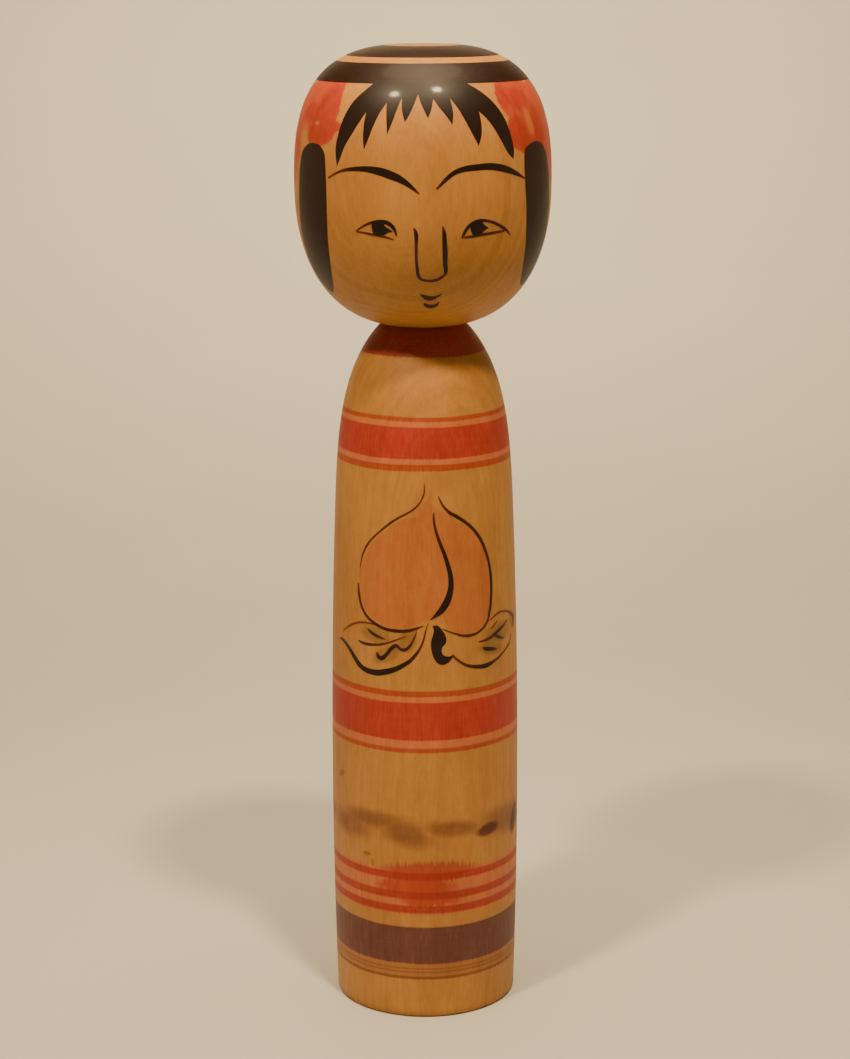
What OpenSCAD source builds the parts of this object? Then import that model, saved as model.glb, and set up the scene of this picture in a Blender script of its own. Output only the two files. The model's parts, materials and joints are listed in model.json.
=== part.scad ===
// A kokeshi: a wooden doll without arms or legs, turned in two pieces on a lathe.
// The body is one turned blank with a socket in its top.
// The head is a second turned blank. A short tenon under it snaps into the socket,
// where a ridge holds it captive, so the head turns and can't be lifted out.
// Millimetres. +Z is up, the table is Z = 0 and the painted face looks along -Y.

/* [Whole doll] */

// Height from the table to the rim of the crown
doll_height = 240; // [180:5:300]
// Height of the top of the body, where the head is seated
seat_height = 173.4; // [130:0.1:220]

/* [Body] */

// Diameter of the foot, where the doll stands
foot_diameter = 45.5; // [34:0.1:58]
// Small chamfer round the edge of the foot
foot_chamfer = 0.5; // [0.1:0.1:2]
// Diameter at the widest part of the body
belly_diameter = 47.2; // [35:0.1:60]
// Height of the widest part of the body
belly_height = 56; // [40:1:80]
// Height at which the shoulder begins to turn in
shoulder_start = 122; // [90:1:150]
// Height at which the shoulder would close if the seat didn't cut it off
shoulder_apex = 178.9; // [140:0.1:230]
// How long the shoulder runs straight before it turns in
shoulder_hold = 4; // [2:0.1:6]
// How round the turn of the shoulder is
shoulder_turn = 0.6; // [0.3:0.05:1]
// Diameter of the mark that the lathe's centre left under the foot
centre_mark_diameter = 3; // [1:0.5:6]

/* [Head] */

// Diameter at the widest part of the head, level with the temples
head_diameter = 62.3; // [46:0.1:80]
// Height of the widest part of the head
temple_height = 207.5; // [155:0.1:260]
// Rise from the temples to where the dome would close
dome_rise = 32.8; // [24:0.1:42]
// Squareness of the dome across its width
dome_width_power = 3.03; // [2:0.01:4]
// Squareness of the dome up its height
dome_height_power = 2.7; // [2:0.01:4]
// Drop from the temples to where the jaw would close
jaw_drop = 34.9; // [26:0.1:45]
// Squareness of the jaw across its width
jaw_width_power = 2.72; // [2:0.01:4]
// Squareness of the jaw down its height
jaw_height_power = 2.2; // [2:0.01:4]
// Diameter of the shallow dish turned in the crown
crown_dish_diameter = 14; // [4:0.5:16]
// Depth of that dish
crown_dish_depth = 0.5; // [0.2:0.1:1]

/* [Neck] */

// Diameter of the tenon under the head
tenon_diameter = 13; // [9:0.1:16]
// Length of the tenon below the seat
tenon_length = 15; // [10:0.5:22]
// How far the ridge stands out from the tenon
ridge_height = 0.7; // [0.3:0.1:1.5]
// Length of the ridge along the tenon
ridge_length = 2.5; // [1.5:0.1:5]
// Length of the taper that leads the tenon into the socket
lead_in_length = 2.5; // [1:0.1:5]
// Gap all round between the tenon and its socket
turning_gap = 0.06; // [0.01:0.01:0.1]
// Gap above the ridge and under the tenon's end
end_gap = 0.3; // [0.1:0.1:1]

/* [Hidden] */

// Each curve is drawn with this many straight steps
curve_steps = 32;
$fn = 180;

belly_radius = belly_diameter / 2;
head_radius = head_diameter / 2;
tenon_radius = tenon_diameter / 2;
ridge_radius = tenon_radius + ridge_height;
mark_radius = centre_mark_diameter / 2;
dish_radius = crown_dish_diameter / 2;

// The body narrows by the square of the distance from its widest part.
taper = (belly_diameter - foot_diameter) / 2 / pow(belly_height, 2);
tenon_end = seat_height - tenon_length;
ridge_bottom = tenon_end + lead_in_length;
ridge_top = ridge_bottom + ridge_length;

// The radius of a sphere that leaves a dish of this radius and depth
dish_sphere_radius = (pow(dish_radius, 2) + pow(crown_dish_depth, 2)) / 2 / crown_dish_depth;

wood = [0.80, 0.58, 0.33];
head_wood = [0.84, 0.62, 0.38];

// Radius of the straight part of the body at height z
function barrel_radius(z) = belly_radius - taper * pow(z - belly_height, 2);

// How far through the turn of the shoulder height z is, from 0 to 1
function shoulder_part(z) = max(0, z - shoulder_start) / (shoulder_apex - shoulder_start);

// Radius of the body at height z
function body_radius(z) =
    barrel_radius(z) * pow(1 - pow(shoulder_part(z), shoulder_hold), shoulder_turn);

// A point on a squared-off quarter ellipse, at angle t above its widest part
function swell(t, radius, rise, width_power, height_power) = [
    radius * pow(cos(t), 2 / width_power),
    rise * pow(sin(t), 2 / height_power)
];

// The angle at which that quarter ellipse reaches a height
function swell_angle(height, rise, height_power) = asin(pow(height / rise, height_power / 2));

dome_angle = swell_angle(doll_height - temple_height, dome_rise, dome_height_power);
jaw_angle = swell_angle(temple_height - seat_height, jaw_drop, jaw_height_power);

// The body's side, from just above the foot up to the seat
function body_side() = [
    for (i = [0 : curve_steps])
        let (z = foot_chamfer + (seat_height - foot_chamfer) * sin(90 * i / curve_steps))
        [body_radius(z), z]
];

// The head's side, from the seat up to the temples
function jaw_side() = [
    for (i = [curve_steps : -1 : 1])
        let (p = swell(jaw_angle * i / curve_steps, head_radius, jaw_drop,
                       jaw_width_power, jaw_height_power))
        [p[0], temple_height - p[1]]
];

// The head's side, from the temples up to the crown
function dome_side() = [
    for (i = [0 : curve_steps])
        let (p = swell(dome_angle * i / curve_steps, head_radius, dome_rise,
                       dome_width_power, dome_height_power))
        [p[0], temple_height + p[1]]
];

// The socket that the tenon turns in, with the undercut that keeps its ridge captive
module socket() {
    floor_z = tenon_end - end_gap;
    undercut_top = ridge_top + end_gap;
    mouth_radius = tenon_radius + turning_gap;
    translate([0, 0, undercut_top])
        cylinder(h = seat_height - undercut_top + 1, r = mouth_radius);
    translate([0, 0, floor_z])
        cylinder(h = undercut_top - floor_z, r = ridge_radius + turning_gap);
}

// The turned body: foot, belly, shoulder and the socket in its top
module body() {
    color(wood)
    difference() {
        rotate_extrude()
            polygon(concat(
                [[0, 0], [barrel_radius(0) - foot_chamfer, 0]],
                body_side(),
                [[0, seat_height]]
            ));
        socket();
        // the mark of the lathe's centre, a small cone
        translate([0, 0, -0.001])
            cylinder(h = mark_radius, r1 = mark_radius, r2 = 0);
    }
}

// The tenon under the head: a plain stem, and a ridge whose long taper leads it into the
// socket and whose short slope, at 45 degrees, holds it there
module tenon() {
    rotate_extrude()
        polygon([
            [0, tenon_end],
            [tenon_radius - ridge_height, tenon_end],
            [ridge_radius, ridge_bottom],
            [ridge_radius, ridge_top - ridge_height],
            [tenon_radius, ridge_top],
            [tenon_radius, seat_height + 1],
            [0, seat_height + 1]
        ]);
}

// The turned head: jaw, temples, dome, dished crown and the tenon below
module head() {
    color(head_wood)
    difference() {
        union() {
            rotate_extrude()
                polygon(concat(
                    [[0, seat_height]],
                    jaw_side(),
                    dome_side(),
                    [[0, doll_height]]
                ));
            tenon();
        }
        translate([0, 0, doll_height - crown_dish_depth + dish_sphere_radius])
            sphere(r = dish_sphere_radius);
    }
}

body();
head();
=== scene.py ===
# %% [markdown]
# # A turned and painted kokeshi doll
#
# A kokeshi has no arms or legs. It is two pieces of pale wood turned on a lathe: a body, and
# a head whose short tenon snaps into the body's top. Dyes are laid on while the wood spins,
# which gives the rings and bands, and the face, the hair and the fruit are drawn with a brush
# in black ink. Then the doll is waxed, and its wood turns honey-coloured with age.
#
# We work in the order of the workshop: turn the two pieces, mix the wood and the dyes, lay
# the brush strokes, then set up a plain studio. Sizes are in millimetres until the last step
# of each helper, because that is how a turner would give them.

# %% Load the frame
import json
import math

import bmesh
import bpy
from mathutils import Matrix, Vector

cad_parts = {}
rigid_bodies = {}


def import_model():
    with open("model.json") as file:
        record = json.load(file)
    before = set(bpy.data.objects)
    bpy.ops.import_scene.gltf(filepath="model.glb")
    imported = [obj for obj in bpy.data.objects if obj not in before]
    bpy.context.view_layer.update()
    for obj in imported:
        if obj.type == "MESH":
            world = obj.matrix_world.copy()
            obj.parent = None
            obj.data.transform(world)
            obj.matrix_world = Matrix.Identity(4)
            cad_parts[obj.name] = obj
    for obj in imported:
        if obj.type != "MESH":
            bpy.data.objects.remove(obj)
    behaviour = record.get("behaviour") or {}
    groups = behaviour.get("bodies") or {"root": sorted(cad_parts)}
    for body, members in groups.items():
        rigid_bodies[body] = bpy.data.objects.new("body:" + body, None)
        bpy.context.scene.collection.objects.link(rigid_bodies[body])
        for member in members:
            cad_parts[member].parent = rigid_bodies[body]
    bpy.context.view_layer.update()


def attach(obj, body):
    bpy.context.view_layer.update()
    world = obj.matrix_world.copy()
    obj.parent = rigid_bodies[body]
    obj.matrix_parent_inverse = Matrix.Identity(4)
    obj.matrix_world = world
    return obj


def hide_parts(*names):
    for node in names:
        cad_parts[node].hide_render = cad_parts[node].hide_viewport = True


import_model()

MM = 0.001

# %% [markdown]
# ## The two outlines
#
# A turned piece is one outline spun round the lathe's axis, so the outline is all that has to
# be right. It could be drawn as a chain of arcs, but the turner's gouge swings in one long
# sweep, and a squared-off ellipse gives the same full, unbroken curve from only four numbers.
#
# Paint follows the wood, so we need to lay flat drawings on the curved side. Each outline
# therefore knows, for any `v`, the radius and height there and which way is outwards. On the
# head `v` is the distance along the side, up from the temples. The body is nearly straight,
# so there `v` is simply the height. A point of a drawing is then (u, v) in mm: `u` runs round
# the piece to the right of the front, and `v` runs up it.

# %% A class for an outline
class Outline:
    """The painted side of a turned piece, as (radius, height) points from low to high."""

    def __init__(self, points, along, girth_radius):
        self.points = points
        self.along = along
        self.girth_radius = girth_radius  # u / girth_radius is the angle round the piece

    def step(self, v):
        """The index of the step of the outline that holds v, and how far v is through it."""
        low, high = 0, len(self.along) - 1
        while high - low > 1:
            middle = (low + high) // 2
            if self.along[middle] <= v:
                low = middle
            else:
                high = middle
        return low, (v - self.along[low]) / (self.along[high] - self.along[low])

    def outward(self, index):
        """The outward direction at one point of the outline."""
        before = self.points[max(index - 1, 0)]
        after = self.points[min(index + 1, len(self.points) - 1)]
        return Vector((after[1] - before[1], before[0] - after[0])).normalized()

    def place(self, u, v, lift):
        """Where a drawing's point (u, v) lies, in metres, raised off the wood by lift in mm."""
        index, part = self.step(v)
        here = Vector(self.points[index]).lerp(Vector(self.points[index + 1]), part)
        out = self.outward(index).lerp(self.outward(index + 1), part).normalized()
        radius, height = here + out * lift
        angle = u / self.girth_radius
        return Vector((radius * math.sin(angle), -radius * math.cos(angle), height)) * MM


def sweep(low, high, steps):
    """Values from low to high that crowd together towards high."""
    return [low + (high - low) * math.sin(math.pi / 2 * i / steps) for i in range(steps + 1)]


print("an outline places a drawing's points on the wood")

# %% The body's outline
SEAT_HEIGHT = 173.4  # the head sits here
BELLY_RADIUS, BELLY_HEIGHT = 23.6, 56.0
FOOT_RADIUS = 22.75
FOOT_CHAMFER = 0.5
SHOULDER_START, SHOULDER_APEX = 122.0, 178.9
SHOULDER_HOLD, SHOULDER_TURN = 4, 0.6  # how long it runs straight, and how round it turns in
BODY_GIRTH_RADIUS = 23.0  # u is measured on a cylinder of this radius


def body_radius(height):
    """The belly's slow curve, closed in at the shoulder."""
    belly = BELLY_RADIUS - (BELLY_RADIUS - FOOT_RADIUS) * (height / BELLY_HEIGHT - 1) ** 2
    turn_in = max(0.0, height - SHOULDER_START) / (SHOULDER_APEX - SHOULDER_START)
    return belly * (1 - turn_in**SHOULDER_HOLD) ** SHOULDER_TURN


body_heights = sweep(FOOT_CHAMFER, SEAT_HEIGHT, 90)
body_side = Outline([(body_radius(z), z) for z in body_heights], body_heights, BODY_GIRTH_RADIUS)
print(f"body: {2 * body_radius(BELLY_HEIGHT):.1f} mm wide, {SEAT_HEIGHT} mm tall")

# %% The head's outline
CROWN_HEIGHT = 240.0
HEAD_RADIUS, TEMPLE_HEIGHT = 31.15, 207.5
DOME_RISE, JAW_DROP = 32.8, 34.9
DOME_POWERS = (3.03, 2.7)  # across and up: 2 is a plain ellipse, more is squarer
JAW_POWERS = (2.72, 2.2)


def swell(angle, rise, width_power, height_power):
    """A point on a squared-off quarter ellipse, as (radius, height above its widest part)."""
    radius = HEAD_RADIUS * math.cos(angle) ** (2 / width_power)
    return radius, rise * math.sin(angle) ** (2 / height_power)


def swell_angle(height, rise, height_power):
    """The angle at which that quarter ellipse reaches a height."""
    return math.asin((height / rise) ** (height_power / 2))


def head_points():
    """The head's side from the seat, round the jaw and temples, up to the crown's rim."""
    jaw_end = swell_angle(TEMPLE_HEIGHT - SEAT_HEIGHT, JAW_DROP, JAW_POWERS[1])
    dome_end = swell_angle(CROWN_HEIGHT - TEMPLE_HEIGHT, DOME_RISE, DOME_POWERS[1])
    steps = 64
    jaw = [swell(jaw_end * i / steps, JAW_DROP, *JAW_POWERS) for i in range(steps, 0, -1)]
    dome = [swell(dome_end * i / steps, DOME_RISE, *DOME_POWERS) for i in range(steps + 1)]
    below = [(radius, TEMPLE_HEIGHT - drop) for radius, drop in jaw]
    return below + [(radius, TEMPLE_HEIGHT + rise) for radius, rise in dome]


def lengths_from_temples(points):
    """The distance of each point along the side, with 0 at the temples and jaw points below 0."""
    lengths = [0.0]
    for here, following in zip(points, points[1:]):
        lengths.append(lengths[-1] + math.dist(here, following))
    temples = next(i for i, point in enumerate(points) if point[1] >= TEMPLE_HEIGHT)
    return [length - lengths[temples] for length in lengths]


side = head_points()
head_side = Outline(side, lengths_from_temples(side), HEAD_RADIUS)
print(f"head: v runs from {head_side.along[0]:.1f} at the seat to {head_side.along[-1]:.1f} at the rim")

# %% [markdown]
# ## Turning
#
# `spin` does what the lathe does. We give it the whole outline, from the axis out over the
# surface and back to the axis, so the solid comes out closed. Each point carries its `v`
# along with it, and from that we write a map named `wrap`, in which the wood's surface lies
# flat with one unit to the millimetre. The dyes are painted in that map.
#
# The rims that a hand has sanded are bevelled a little, because no real edge is sharp, and
# a soft edge is what catches the light.

# %% Spin an outline into a solid
TURN_STEPS = 240
RIM_ROUNDING = 0.2


def spun(points, along):
    """A closed solid from (radius, height) points that begin and end on the axis."""
    solid = bmesh.new()
    travel = solid.verts.layers.float.new("along")
    chain = []
    for (radius, height), length in zip(points, along):
        chain.append(solid.verts.new((0, -radius * MM, height * MM)))
        chain[-1][travel] = length
    edges = [solid.edges.new(pair) for pair in zip(chain, chain[1:])]
    bmesh.ops.spin(
        solid, geom=chain + edges, cent=(0, 0, 0), axis=(0, 0, 1), angle=2 * math.pi,
        steps=TURN_STEPS, use_merge=True,
    )
    bmesh.ops.remove_doubles(solid, verts=solid.verts, dist=1e-7)
    bmesh.ops.recalc_face_normals(solid, faces=solid.faces)
    return solid


def soften_rims(solid, offset, sharpest=0.5):
    """Bevels every edge that turns by more than sharpest radians."""
    rims = [edge for edge in solid.edges if edge.calc_face_angle(0) > sharpest]
    bmesh.ops.bevel(
        solid, geom=rims, offset=offset * MM, offset_type="OFFSET", affect="EDGES",
        segments=3, profile=0.5, material=-1,
    )


def write_wrap(solid, girth_radius):
    """The map named wrap: (u, v) in mm, cut open down the back."""
    travel = solid.verts.layers.float["along"]
    wrap = solid.loops.layers.uv.new("wrap")
    for face in solid.faces:
        middle = face.calc_center_median()
        front = math.atan2(middle.x, -middle.y)
        for loop in face.loops:
            x, y, _ = loop.vert.co
            angle = math.atan2(x, -y) if math.hypot(x, y) > 1e-6 else front
            angle += 2 * math.pi * round((front - angle) / (2 * math.pi))
            loop[wrap].uv = (angle * girth_radius, loop.vert[travel])


def finished(name, solid, body_name):
    """Makes a piece of a bmesh, with smooth faces, riding on one of the doll's two bodies."""
    mesh = bpy.data.meshes.new(name)
    solid.to_mesh(mesh)
    solid.free()
    mesh.shade_smooth()
    mesh.set_sharp_from_angle(angle=math.radians(40))
    piece = bpy.data.objects.new(name, mesh)
    bpy.context.scene.collection.objects.link(piece)
    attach(piece, body_name)
    return piece


print("spin, bevel and wrap are ready")

# %% [markdown]
# ## The body and its socket
#
# The socket in the body's top is undercut: it is wider below than at its mouth. The turner
# warms the neck by friction and pushes the head home while the lathe runs, and the tenon's
# ridge springs into the undercut. After that the head turns with a squeak but never comes out.

# %% Turn the body
TENON_RADIUS, TENON_END = 6.5, 158.4
RIDGE_HEIGHT = 0.7  # how far the ridge stands out from the tenon
RIDGE_RADIUS = TENON_RADIUS + RIDGE_HEIGHT
RIDGE_LOW, RIDGE_HIGH = 160.9, 163.4
TURNING_GAP, END_GAP = 0.06, 0.3
MARK_RADIUS = 1.5  # the cone that the lathe's centre leaves under the foot

socket_points = [
    (TENON_RADIUS + TURNING_GAP, SEAT_HEIGHT),
    (TENON_RADIUS + TURNING_GAP, RIDGE_HIGH + END_GAP),
    (RIDGE_RADIUS + TURNING_GAP, RIDGE_HIGH + END_GAP),
    (RIDGE_RADIUS + TURNING_GAP, TENON_END - END_GAP),
    (0, TENON_END - END_GAP),
]
foot_points = [(0, MARK_RADIUS), (MARK_RADIUS, 0), (FOOT_RADIUS - FOOT_CHAMFER, 0)]
body_points = foot_points + body_side.points + socket_points
body_along = [0.0] * len(foot_points) + body_side.along + [SEAT_HEIGHT] * len(socket_points)

body_solid = spun(body_points, body_along)
soften_rims(body_solid, RIM_ROUNDING)
write_wrap(body_solid, body_side.girth_radius)
turned_body = finished("turned_body", body_solid, "body")
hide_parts("body")
print("turned_body:", len(turned_body.data.polygons), "faces")

# %% Turn the head
DISH_RADIUS, DISH_DEPTH = 7.0, 0.5  # the shallow hollow in the crown

dish_points = [
    (DISH_RADIUS * (1 - i / 10), CROWN_HEIGHT - DISH_DEPTH * (1 - (1 - i / 10) ** 2))
    for i in range(11)
]
tenon_points = [
    (0, TENON_END),
    (TENON_RADIUS - RIDGE_HEIGHT, TENON_END),
    (RIDGE_RADIUS, RIDGE_LOW),
    (RIDGE_RADIUS, RIDGE_HIGH - RIDGE_HEIGHT),
    (TENON_RADIUS, RIDGE_HIGH),
    (TENON_RADIUS, SEAT_HEIGHT),
]
crown_along = [head_side.along[-1] + head_side.points[-1][0] - point[0] for point in dish_points]
head_solid = spun(
    tenon_points + head_side.points + dish_points,
    [head_side.along[0]] * len(tenon_points) + head_side.along + crown_along,
)
soften_rims(head_solid, RIM_ROUNDING)
write_wrap(head_solid, head_side.girth_radius)
turned_head = finished("turned_head", head_solid, "head")
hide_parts("head")
print("turned_head:", len(turned_head.data.polygons), "faces")

# %% [markdown]
# ## Mixing materials as sums
#
# A material in Blender is a web of nodes, and a long one is hard to read. So we write it as
# plain arithmetic instead: a `Value` wraps one output of a node, and `a * 2 + b` adds the
# Math nodes for us. A `Finish` is one material, and its method `node` adds any other kind.

# %% A number in a material
class Value:
    """One output of a node. Arithmetic on it adds Math nodes to the same finish."""

    def __init__(self, finish, output):
        self.finish = finish
        self.output = output

    def math(self, operation, first, second):
        return self.finish.node("Math", {"operation": operation}, {0: first, 1: second})

    def __add__(self, other):
        return self.math("ADD", self, other)

    def __sub__(self, other):
        return self.math("SUBTRACT", self, other)

    def __rsub__(self, other):
        return self.math("SUBTRACT", other, self)

    def __mul__(self, other):
        return self.math("MULTIPLY", self, other)

    def __pow__(self, other):
        return self.math("POWER", self, other)

    __radd__ = __add__
    __rmul__ = __mul__

    def or_more(self, other):
        return self.math("MAXIMUM", self, other)

    def rise(self, low, high):
        """0 below low, 1 above high, and a smooth rise between."""
        return self.finish.node(
            "MapRange", {"interpolation_type": "SMOOTHSTEP"},
            {"Value": self, "From Min": low, "From Max": high},
        )


print("a number in a material adds, multiplies and rises")

# %% A material
class Finish:
    """A material whose nodes are added one call at a time."""

    def __init__(self, name):
        self.material = bpy.data.materials.new(name)
        self.material.use_nodes = True
        self.tree = self.material.node_tree
        self.shader = self.tree.nodes["Principled BSDF"]

    def feed(self, socket, value):
        """Links a Value to a socket, or sets a plain number, vector or colour on it."""
        if isinstance(value, Value):
            self.tree.links.new(value.output, socket)
        elif socket.type == "RGBA" and len(value) == 3:
            socket.default_value = (*value, 1.0)
        else:
            socket.default_value = value

    def node(self, kind, settings, inputs, output=0):
        """Adds a node, makes its settings, fills its sockets and gives back one output."""
        node = self.tree.nodes.new("ShaderNode" + kind)
        for setting, choice in settings.items():
            setattr(node, setting, choice)
        for socket, value in inputs.items():
            self.feed(node.inputs[socket], value)
        return Value(self, node.outputs[output])

    def surface(self, **sockets):
        """Sets or links the sockets of the material's own shader."""
        for socket, value in sockets.items():
            self.feed(self.shader.inputs[socket.replace("_", " ")], value)

    def stretched(self, place, stretch):
        return self.node("VectorMath", {"operation": "MULTIPLY"}, {0: place, 1: stretch})

    def noise(self, place, stretch, detail=2.0, roughness=0.5):
        """Soft random value round 0.5, with spots about 1 / stretch wide on each axis."""
        where = self.stretched(place, stretch)
        inputs = {"Vector": where, "Scale": 1.0, "Detail": detail, "Roughness": roughness}
        return self.node("TexNoise", {"noise_dimensions": "3D"}, inputs)

    def blend(self, first, second, factor):
        """A colour between two others."""
        return self.node("Mix", {"data_type": "RGBA"}, {0: factor, 6: first, 7: second}, 2)

    def stain(self, ground, dye, strength):
        """A colour dyed by another, which acts as a clear glaze over it."""
        settings = {"data_type": "RGBA", "blend_type": "MULTIPLY"}
        return self.node("Mix", settings, {0: strength, 6: ground, 7: dye}, 2)

    def parts(self, vector):
        """The three parts of a vector."""
        node = self.tree.nodes.new("ShaderNodeSeparateXYZ")
        self.feed(node.inputs[0], vector)
        return [Value(self, output) for output in node.outputs]


print("a finish adds its own nodes")

# %% [markdown]
# ## Pale wood, darkened with age
#
# Kokeshi are turned from dogwood or maple: pale, close-grained and without large pores. What
# the eye finds is a slow change from ring to ring, short hair-fine fibres along the grain, a
# few darker flecks, and cloudy yellowing from years of light and hands.
#
# The rings are solid, not painted on: they are cylinders round the tree's heart, which lies a
# little outside the piece. We measure the distance from that heart line in the piece's own
# coordinates, so the same rings run as long stripes up the sides, close into arcs over the
# shoulder and the dome, and show as curved lines on the flat crown and foot.

# %% The wood's grain
def wood(finish, heart, pale, deep):
    """The wood's colour and its fibres, for a tree whose heart line runs up through heart."""
    metres = finish.node("TexCoord", {}, {}, "Object")
    place = finish.stretched(metres, (1000, 1000, 1000))
    x, y, z = finish.parts(place)
    swirl = finish.noise(place, (0.03, 0.03, 0.008), 2)
    lean = z * 0.02
    from_heart = ((x - heart[0] + lean) ** 2 + (y - heart[1]) ** 2) ** 0.5 + swirl * 9
    rings = finish.node(
        "TexNoise", {"noise_dimensions": "1D"},
        {"W": from_heart * 0.8, "Scale": 1.0, "Detail": 3.0, "Roughness": 0.6},
    )
    fibres = finish.noise(place, (2.2, 2.2, 0.22), 3, 0.6)
    flecks = finish.noise(place, (4.0, 4.0, 0.5), 1).rise(0.62, 0.74)
    mottle = finish.noise(place, (0.5, 0.5, 0.25), 3, 0.6)
    clouds = finish.noise(place, (0.07, 0.07, 0.035), 2)
    darkness = rings.rise(0.3, 0.75) * 0.3 + fibres.rise(0.2, 0.8) * 0.26
    darkness = darkness + mottle.rise(0.25, 0.75) * 0.26 + clouds.rise(0.3, 0.7) * 0.36
    colour = finish.blend(pale, deep, darkness - 0.04)
    colour = finish.stain(colour, (0.70, 0.55, 0.40), flecks * 0.35)
    return colour, fibres, rings


def waxed(finish, fibres, rings, turning):
    """Hand-rubbed wax: a soft gloss, a breath of grain and the fine rings of the gouge."""
    relief = fibres * 0.5 + rings * 0.3 + turning * 0.4
    bump = finish.node("Bump", {}, {"Strength": 0.12, "Distance": 0.0002, "Height": relief})
    finish.surface(Roughness=0.48 + fibres * 0.14, Normal=bump)
    finish.surface(Coat_Weight=0.10, Coat_Roughness=0.2, Specular_IOR_Level=0.3)


print("the wood is ready to dye")

# %% [markdown]
# ## Dyes
#
# The dyes are thin and clear, and soak into the wood, so grain shows through them. We treat
# each as a glaze: it multiplies the wood's colour where its mask is 1. Only the pale red has
# parts above 1, because a little chalk in it makes it lighter than the old wood.
#
# A ring or band is a mask between two heights. Its edges wander a little and feather along
# the fibres, because wet dye creeps up the grain. A brushed patch is a soft oval, and a few of
# them overlapping give the uneven shape of a real brush mark.

# %% Masks for rings and brushed patches
def band(v, low, high, soft=0.18):
    """1 between two heights, fading over a soft edge."""
    return v.rise(low - soft, low + soft) * (1 - v.rise(high - soft, high + soft))


def patch(wrap, centre, size, turn=0.0, soft=0.25, wander=0.0):
    """1 inside an oval of half-sizes size, turned anticlockwise by turn degrees."""
    inputs = {"Vector": wrap, "Location": (*centre, 0), "Scale": (*size, 1)}
    inputs["Rotation"] = (0, 0, math.radians(turn))
    oval = wrap.finish.node("Mapping", {"vector_type": "TEXTURE"}, inputs)
    distance = wrap.finish.node("VectorMath", {"operation": "LENGTH"}, {0: oval}, 1) + wander
    return 1 - distance.rise(1 - soft, 1 + soft)


def union(masks):
    """The strongest of several masks."""
    strongest = masks[0]
    for mask in masks[1:]:
        strongest = strongest.or_more(mask)
    return strongest


def bands(v, edges, soft=0.18):
    """1 inside any of several bands, given as (low, high)."""
    return union([band(v, low, high, soft) for low, high in edges])


print("masks for bands and patches")

# %% Mask the body's wet edges
body_finish = Finish("dyed_body_wood")
body_wood, fibres, rings = wood(
    body_finish, heart=(-12, 55), pale=(0.47, 0.218, 0.050), deep=(0.31, 0.128, 0.026)
)
wrap = body_finish.node("UVMap", {"uv_map": "wrap"}, {})
u, v, _ = body_finish.parts(wrap)
hand_wobble = body_finish.noise(wrap, (0.05, 0.05, 0), 1) - 0.5
brush_lines = body_finish.noise(wrap, (0.04, 2.2, 0), 3, 0.6)
creep = v + hand_wobble * 0.5 + (fibres - 0.5) * 0.4  # the height, as wet dye feels it
wash = 0.80 + brush_lines * 0.24 + (fibres - 0.5) * 0.4  # how much dye the wood took up
print("edges wander by up to 0.25 mm and feather by up to 0.2 mm")

# %% Dye the body's bands
RED = (0.72, 0.14, 0.28)
PALE_RED = (1.18, 0.70, 1.05)
BROWN_RED = (0.80, 0.22, 0.28)
RED_BANDS = [(143.2, 150.8), (73.3, 82.9), (166.8, 175.0)]
PALE_BANDS = [(141.9, 152.1), (71.2, 84.3)]
LINES = [(152.1, 153.2), (140.3, 141.9), (84.3, 85.8), (70.1, 71.3)]

colour = body_finish.stain(body_wood, PALE_RED, bands(creep, PALE_BANDS) * wash)
colour = body_finish.stain(colour, RED, bands(creep, RED_BANDS) * wash)
colour = body_finish.stain(colour, BROWN_RED, bands(creep, LINES) * wash)
print("the neck and the upper and middle bands dyed")

# %% Dye the three lines and let them run
RUN_RED = (0.80, 0.25, 0.36)
LINE_RED = (0.66, 0.15, 0.22)
THREE_LINES = [(36.9, 38.8), (31.8, 33.8), (28.1, 30.1)]
RUN_BAND = (27.6, 39.4)  # the thin dye between and round them
POOLS = [  # (centre, half-sizes) of each wet spot
    ((1.5, 39.0), (11.5, 2.6)), ((-2.5, 35.0), (9.5, 2.6)), ((1.0, 32.2), (8.0, 2.6)),
    ((-2, 36), (6, 4.5)),
]

blur = body_finish.noise(wrap, (0.22, 0.22, 0), 3, 0.6) - 0.5
drips = body_finish.noise(wrap, (1.1, 0.12, 0), 2) - 0.5
ran = body_finish.node("CombineXYZ", {}, {"X": u + blur * 4, "Y": creep + drips * 5})
bleed = union([patch(ran, *pool, 0, 0.25) for pool in POOLS])
colour = body_finish.stain(colour, PALE_RED, band(creep, *RUN_BAND, 0.6) * 0.85)
colour = body_finish.stain(colour, RUN_RED, bleed * 0.9)
colour = body_finish.stain(colour, LINE_RED, bands(creep, THREE_LINES, 0.3) * (wash - bleed * 0.3))
print("the three lines have run together at the front")

# %% Dye the foot's bands
PURPLE = (0.28, 0.18, 0.72)
THIN_PURPLE = (0.80, 0.72, 0.90)
BROWN = (0.62, 0.50, 0.42)
PURPLE_BAND, THIN_BAND = (14.5, 24.4), (10.3, 14.5)
FAINT_LINES, LOWEST_LINE = [(12.0, 12.5), (12.9, 13.4)], (10.3, 11.1)

colour = body_finish.stain(colour, PURPLE, band(creep, *PURPLE_BAND, 0.25) * (wash + 0.08))
colour = body_finish.stain(colour, THIN_PURPLE, band(creep, *THIN_BAND, 0.2))
brown_lines = (bands(creep, FAINT_LINES) * 0.7).or_more(band(creep, *LOWEST_LINE))
colour = body_finish.stain(colour, BROWN, brown_lines)
print("the foot's bands dyed")

# %% [markdown]
# ## The old purple garland
#
# Between the middle bands and the three lines a garland of purple leaves once ran round the
# body. Purple fades fastest of the old dyes. At the front only brown ghosts are left, and
# round the sides, away from the window, the leaves are still dark.

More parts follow.
